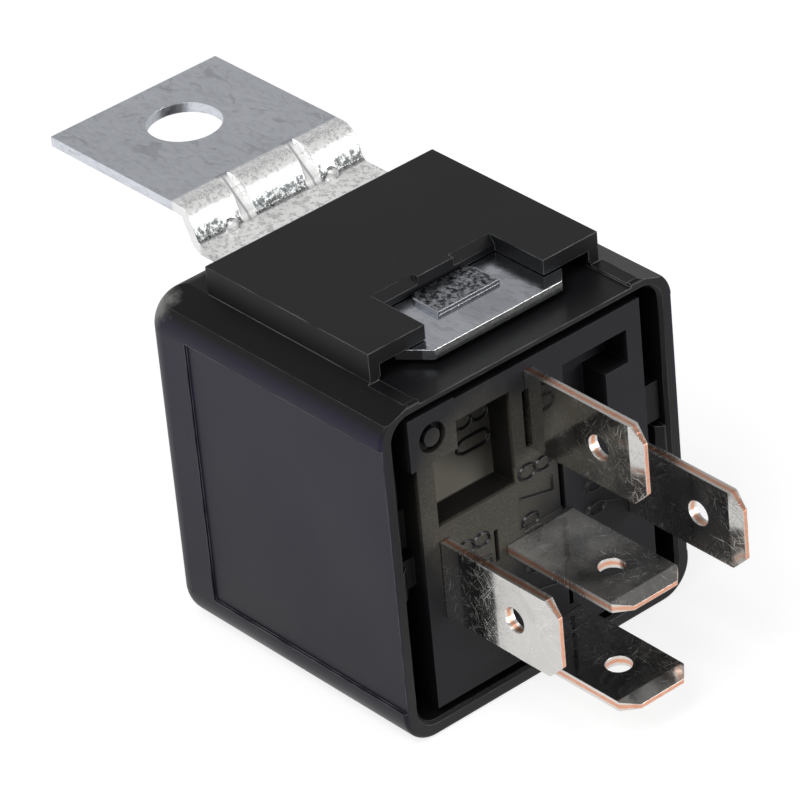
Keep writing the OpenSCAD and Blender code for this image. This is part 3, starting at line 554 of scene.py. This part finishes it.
wire = Finish("magnet_wire")
bands = wire.noise(600, 3)
wire.set("Metallic", 1.0)
wire.set("Base Color", wire.blend(bands, (0.50, 0.17, 0.06), (0.72, 0.30, 0.12)))
wire.set("Roughness", wire.steps(bands, 0.3, 0.7, 0.22, 0.36))
wire.set("Coat Weight", 0.5)
wire.set("Coat Roughness", 0.15)
wire.relief(wire.noise(5000, 2), 0.003 * mm, 0.5)
dress(wire, "coil_winding", "coil_lead_85", "coil_lead_86")

# %% [markdown]
# ## Building a mesh from arrays
# New pieces are grids of points worked out with numpy. One helper turns a grid into faces, and
# can close it round in either direction, so the same few lines make a tube, a ring or a sheet.
# Each piece keeps its place in its vertices, as the CAD nodes do.

# %% mesh from arrays
def grid_faces(rows, columns, wrap_rows=False, wrap_columns=False):
    """Four corners of each cell of a rows by columns grid, as an array of vertex numbers."""
    index = np.arange(rows * columns).reshape(rows, columns)
    if wrap_rows:
        index = np.vstack([index, index[:1]])
    if wrap_columns:
        index = np.hstack([index, index[:, :1]])
    corners = [index[:-1, :-1], index[1:, :-1], index[1:, 1:], index[:-1, 1:]]
    return np.stack(corners, -1).reshape(-1, 4)


def piece(name, points, faces, finish, body="housing"):
    """A smooth shaded mesh object of points and faces, riding on a body if one is given."""
    mesh = bpy.data.meshes.new(name)
    mesh.from_pydata(points.reshape(-1, 3).tolist(), [], [list(map(int, f)) for f in faces])
    mesh.validate()
    mesh.shade_smooth()
    mesh.materials.append(finish.material)
    built = bpy.data.objects.new(name, mesh)
    bpy.context.scene.collection.objects.link(built)
    if body:
        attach(built, body)
    print(name, len(mesh.vertices), "points,", len(mesh.polygons), "faces")
    return built


print("a 3 by 4 grid has", len(grid_faces(3, 4)), "cells, and closed both ways",
      len(grid_faces(3, 4, True, True)))

# %% [markdown]
# ## Moulded numbers
# The terminal numbers are engraved in the mould with a fine cutter, so they stand on the base as
# thin beads. A digit is a few strokes, and the height of the plastic is a bell curve of the
# distance to the nearest stroke, worked out over a small grid. The rest of the grid lies just
# under the plastic and doesn't show. A text object would give flat letters with square edges,
# which catch the light quite differently.

# %% strokes of the digits
def arc(x, y, rx, ry, start, stop, count=14):
    """Points on an ellipse about (x, y) from angle start to stop, in degrees."""
    turn = np.radians(np.linspace(start, stop, count))
    return np.stack([x + rx * np.cos(turn), y + ry * np.sin(turn)], -1)


def line(*points):
    return np.array(points, float)


STROKES = {
    "0": [np.vstack([arc(0.5, 1.5, 0.5, 0.5, 0, 180), arc(0.5, 0.5, 0.5, 0.5, 180, 360),
                     line((1, 1.5))])],
    "3": [arc(0.45, 1.5, 0.5, 0.5, 150, -90), arc(0.45, 0.5, 0.55, 0.5, 90, -150)],
    "5": [line((0.95, 2), (0.15, 2), (0.08, 1.15)), arc(0.45, 0.6, 0.55, 0.6, 125, -150)],
    "6": [line((0.8, 2), (0.12, 0.9)), arc(0.5, 0.55, 0.5, 0.55, 0, 360, 24)],
    "7": [line((0, 2), (1, 2), (0.4, 0))],
    "8": [arc(0.5, 1.52, 0.45, 0.48, 0, 360, 24), arc(0.5, 0.52, 0.5, 0.52, 0, 360, 24)],
    "a": [arc(0.45, 0.5, 0.45, 0.5, 0, 360, 24), line((0.95, 1), (0.95, 0))],
}


def stroke_distance(points, strokes):
    """Distance to the nearest stroke: on each segment, the point's foot is clamped to the ends."""
    best = np.full(points.shape[:-1], 1e9)
    for stroke in strokes:
        for a, b in zip(stroke[:-1], stroke[1:]):
            run = b - a
            share = np.clip(((points - a) @ run) / max(run @ run, 1e-12), 0, 1)
            best = np.minimum(best, np.linalg.norm(points - a - share[..., None] * run, axis=-1))
    return best


print("digits:", " ".join(STROKES))

# %% beads over a grid
CELL, SINK, SLAB = 0.04 * mm, 0.02 * mm, 0.12 * mm


def beads(name, strokes, corner, across, upward, size, width, height):
    """A closed slab whose top is height * exp(-(distance / width)^2), sunk a little."""
    columns, rows = (int(round(s / CELL)) + 1 for s in size)
    u, v = np.meshgrid(np.linspace(0, size[0], columns), np.linspace(0, size[1], rows))
    lift = height * np.exp(-((stroke_distance(np.stack([u, v], -1), strokes) / width) ** 2))
    margin = np.minimum(np.minimum(u, size[0] - u), np.minimum(v, size[1] - v))
    lift = lift * np.clip(margin / (3 * CELL), 0, 1) - SINK
    out = np.cross(across, upward)
    flat = np.array(corner) + u[..., None] * across + v[..., None] * upward
    top, bottom = flat + lift[..., None] * out, flat - SLAB * out
    index = np.arange(rows * columns).reshape(rows, columns)
    rim = np.concatenate([index[0, :-1], index[:-1, -1], index[-1, :0:-1], index[:0:-1, 0]])
    below = rim + rows * columns
    walls = np.stack([rim, below, np.roll(below, -1), np.roll(rim, -1)], -1)
    faces = [*grid_faces(rows, columns)[:, ::-1], *walls, below[::-1]]
    used = np.unique(np.concatenate(faces))
    points = np.vstack([top.reshape(-1, 3), bottom.reshape(-1, 3)])
    renumber = np.full(len(points), -1)
    renumber[used] = np.arange(len(used))
    return piece(name, points[used], [renumber[f] for f in faces], marks)


def number(name, text, y, z, depth=0.0, wide=1.15 * mm):
    """Digits that read downwards, their tops towards +Y, from the point (y, z) on the base face."""
    tall, step, margin = 3.0 * mm, 2.05 * mm, 0.3 * mm
    strokes = [stroke * (wide, tall / 2) + (margin + k * step, margin)
               for k, digit in enumerate(text) for stroke in STROKES[digit]]
    size = ((len(text) - 1) * step + wide + 2 * margin, tall + 2 * margin)
    corner = (face_x - depth, y - margin, z + margin)
    down, sideways = np.array((0, 0, -1.0)), np.array((0, 1.0, 0))
    return beads(name, strokes, corner, down, sideways, size, width=0.085 * mm, height=0.26 * mm)


print("grid cell", round(CELL / mm, 3), "mm")

# %% numbers on the base
pocket_depth, field_depth = 2.5 * mm, 0.14 * mm
number("number_30", "30", -5.0 * mm, 22.6 * mm, depth=pocket_depth)
number("number_87a", "87a", -1.5 * mm, 17.7 * mm, depth=field_depth)
number("number_85", "85", -7.75 * mm, 14.4 * mm)
number("number_86", "86", 4.45 * mm, 13.7 * mm, wide=1.0 * mm)
number("number_87", "87", -1.5 * mm, 9.9 * mm)

# %% [markdown]
# ## The winding
# A relay coil is hundreds of turns of enamelled wire in layers. Only the top layer shows, so it is
# one surface: a tube round the core axis whose radius rises and falls once for each turn. The rise
# starts a little later as the angle grows, which makes the turns a helix. A swept wire would take
# far more faces to show the same.

# %% winding
def winding(name, node, pitch, bore_share=0.55, rows_a_turn=7, sides=96):
    """Radius = r + sqrt(1 - s^2) * pitch / 2, s being -1 to 1 across a turn, moved by the angle."""
    lo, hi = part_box(node)
    centre, outer = (lo + hi) / 2, (hi.z - lo.z) / 2
    turns = int((hi.x - lo.x) / pitch)
    x = np.linspace(lo.x, hi.x, turns * rows_a_turn + 1)
    angle = np.linspace(0, 2 * math.pi, sides + 1)[:-1]
    along, around = np.meshgrid(x, angle, indexing="ij")
    phase = ((along - lo.x) / ((hi.x - lo.x) / turns) - around / (2 * math.pi)) % 1.0
    crown = np.sqrt(np.clip(1 - (2 * phase - 1) ** 2, 0, 1)) * pitch / 2
    bore = np.full((1, len(angle)), outer * bore_share)
    radius = np.vstack([bore, outer - pitch / 2 + crown, bore])
    along, around = (np.vstack([grid[:1], grid, grid[-1:]]) for grid in (along, around))
    loop = np.stack([along, centre.y + radius * np.cos(around),
                     centre.z + radius * np.sin(around)], -1)
    faces = grid_faces(len(loop), len(angle), wrap_rows=True, wrap_columns=True)
    return piece(name, loop, faces[:, ::-1], wire)


coil_turns = winding("coil_turns", "coil_winding", pitch=0.3 * mm)
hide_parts("coil_winding")

# %% [markdown] ## The leaf spring A strip of bronze lies riveted on the yoke, turns down over its
# edge and runs along the back of the armature to the moving contact. It pulls the armature open
# by bending. Holes cut by a boolean would leave long thin faces,
# which crease when the strip bends.

# %% strip along a path
def strip(name, path, normals, half_width, keep, thickness, finish):
    """Points path + y * width, a copy moved by normal * thickness, and walls round open edges.

    The columns of points meet the window's edge, and lie closer together inside it.
    """
    edge = 0.378
    columns = np.concatenate([np.linspace(-1, -edge, 12), np.linspace(-edge, edge, 17)[1:-1],
                              np.linspace(edge, 1, 12)])
    y = half_width[:, None] * columns[None]
    under = np.stack([np.broadcast_to(path[:, :1], y.shape), y,
                      np.broadcast_to(path[:, 1:], y.shape)], -1)
    lift = np.stack([normals[:, 0], np.zeros(len(path)), normals[:, 1]], -1)[:, None] * thickness
    quads = grid_faces(*y.shape)
    quads = quads[keep(under.reshape(-1, 3)[quads].mean(1))]
    count = y.size
    edges = np.concatenate([quads[:, [k, (k + 1) % 4]] for k in range(4)])
    code = np.sort(edges, 1) @ np.array([count, 1])
    _, back, times = np.unique(code, return_inverse=True, return_counts=True)
    rim = edges[times[back] == 1]
    walls = np.stack([rim[:, 1], rim[:, 0], rim[:, 0] + count, rim[:, 1] + count], -1)
    faces = np.concatenate([quads, quads[:, ::-1] + count, walls])
    points = np.concatenate([under.reshape(-1, 3), (under + lift).reshape(-1, 3)])
    used, faces = np.unique(faces, return_inverse=True)
    return piece(name, points[used], faces.reshape(-1, 4), finish, body=None)


spring_lo, spring_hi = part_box("contact_spring")
print("leaf from X", round(spring_lo.x / mm, 2), "to", round(spring_hi.x / mm, 2), "mm, down to Z",
      round(spring_lo.z / mm, 2))

# %% path of the leaf: along the yoke, round the edge, down the armature
open_angle = 3.4
tilt = math.radians(open_angle)
leaf_t, bend_r, arm_t, play = 0.25 * mm, 0.8 * mm, 1.4 * mm, 0.012 * mm
bend_x = hinge.x + (-arm_t + bend_r - bend_r * math.sin(tilt)) / math.cos(tilt)
flat_x = np.linspace(spring_hi.x, bend_x, 56)
flat = np.stack([flat_x, np.full_like(flat_x, hinge.z + play)], -1)
bend = np.radians(np.linspace(90, 180 - open_angle, 14))
round_part = np.stack([bend_x + (bend_r + play) * np.cos(bend),
                       hinge.z - bend_r + (bend_r + play) * np.sin(bend)], -1)
leg_run = (round_part[-1, 1] - spring_lo.z) / math.cos(tilt)
down = np.array((-math.sin(tilt), -math.cos(tilt)))
along_leg = np.linspace(0, leg_run, 76)[1:]
path = np.vstack([flat, round_part[1:], round_part[-1] + along_leg[:, None] * down])
normals = np.vstack([np.tile((0.0, 1.0), (len(flat), 1)),
                     np.stack([np.cos(bend), np.sin(bend)], -1)[1:],
                     np.tile((-math.cos(tilt), math.sin(tilt)), (len(along_leg), 1))])
left = leg_run - np.concatenate([np.zeros(len(flat) + len(bend) - 1), along_leg])
taper, tip_half, full_half = (4.1 * mm, 7.6 * mm), 2.1 * mm, 4.5 * mm
half_width = np.interp(left, taper, (tip_half, full_half))
print("leaf path:", len(path), "points, leg", round(leg_run / mm, 2), "mm")

# %% leaf with its window and holes
rivet_y, shank_r = 2.6 * mm, 0.86 * mm
window_half, window_front, window_drop = 1.7 * mm, 1.4 * mm, 3.4 * mm
yoke_rivet, arm_rivet, contact = (sum(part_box(node), Vector()) / 2 for node in
                                  ("yoke_rivets", "armature_rivets", "moving_contact"))


def leaf_keeps(middle):
    """True outside the window over the hinge and outside the rivets' and the contact's shanks."""
    x, y, z = middle.T
    keep = ~((abs(y) < window_half) & (x < hinge.x + window_front) & (z > hinge.z - window_drop))
    on_yoke, on_leg = z > hinge.z - 1.0 * mm, z < hinge.z - 2.0 * mm
    shanks = ((on_yoke, x - yoke_rivet.x, rivet_y), (on_leg, z - arm_rivet.z, rivet_y),
              (on_leg, z - contact.z, 0.0))
    for here, along, across in shanks:
        keep &= ~(here & (np.hypot(along, abs(y) - across) < shank_r))
    return keep


leaf = strip("leaf_spring", path, normals, half_width, leaf_keeps, leaf_t - play, bronze)
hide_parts("contact_spring")
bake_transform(leaf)

# %% [markdown]
# ## Floor
# A plain pale floor. Lit by the lamps alone it would be grey, and stronger lamps would bleach the
# relay. So it adds a little light of its own, by the kind of ray: the camera sees it white, yet
# with the relay's shadow, and what the metal mirrors fades towards +Y, so that the blades show a
# change from light to dark.

# %% floor
pale = bpy.data.materials.new("pale_floor")
pale.use_nodes = True
pale.node_tree.nodes.clear()
kit = Nodes(pale.node_tree)
ray = kit.node("LightPath").outputs
y = kit.node("SeparateXYZ", {0: kit.node("TexCoord").outputs["Object"]}).outputs["Y"]
seen = kit.times(ray["Is Camera Ray"], 0.78)
mirrored = kit.times(ray["Is Glossy Ray"], kit.steps(y, 0.0, 0.09, 0.7, 0.1, kind="LINEAR"))
glow = kit.node("Emission", {"Strength": kit.plus(mirrored, seen)})
paint = kit.node("BsdfDiffuse", {"Color": (0.35, 0.35, 0.35)})
both = kit.node("AddShader", {0: paint.outputs[0], 1: glow.outputs[0]})
kit.node("OutputMaterial", {0: both.outputs[0]})

half, drop = 3.0, 0.02 * mm
corners = [(x * half, y * half, -drop) for x, y in ((-1, -1), (1, -1), (1, 1), (-1, 1))]
floor_mesh = bpy.data.meshes.new("floor")
floor_mesh.from_pydata(corners, [], [(0, 1, 2, 3)])
floor_mesh.materials.append(pale)
floor = bpy.data.objects.new("floor", floor_mesh)
bpy.context.scene.collection.objects.link(floor)
print("floor", 2 * half, "m square,", round(drop / mm, 2), "mm under the relay")

# %% [markdown]
# ## World
# The world is a white studio for the camera and a soft even light for everything else. Metal is
# only as lively as what it mirrors, so reflections see it bright low down and dark overhead.

# %% world
world = bpy.data.worlds.new("studio")
world.use_nodes = True
bpy.context.scene.world = world
sky = Nodes(world.node_tree)
shown = sky.tree.nodes["Background"]
ray = sky.node("LightPath").outputs
height = sky.node("SeparateXYZ", {0: sky.node("TexCoord").outputs["Generated"]}).outputs["Z"]
mirrored = sky.steps(height, -0.1, 0.95, 0.95, 0.10, kind="LINEAR")
through = sky.math("MAXIMUM", ray["Is Glossy Ray"], ray["Is Transmission Ray"])
lighting = sky.mix(through, 0.34, mirrored)
sky.put((1, 1, 1), shown.inputs["Color"])
sky.put(sky.mix(ray["Is Camera Ray"], lighting, 1.0), shown.inputs["Strength"])
print("world nodes:", len(sky.tree.nodes))

# %% [markdown]
# ## Lamps
# Two square softboxes: a key high up on the -Y side, and a low fill in front of the blades that
# reaches into the recesses of the base.

# %% lamps
def softbox(name, place, watts, size):
    """A square area lamp that faces the relay."""
    lamp = bpy.data.lights.new(name, "AREA")
    lamp.energy, lamp.size = watts, size
    box = bpy.data.objects.new(name, lamp)
    box.location = place
    facing = Vector((0, 0, 0.015)) - Vector(place)
    box.rotation_euler = facing.to_track_quat("-Z", "Y").to_euler()
    bpy.context.scene.collection.objects.link(box)
    print(name, watts, "W,", size, "m")


softbox("key", (0.10, -0.35, 0.55), watts=2.3, size=0.35)
softbox("fill", (0.46, 0.24, 0.05), watts=1.9, size=0.3)

# %% [markdown]
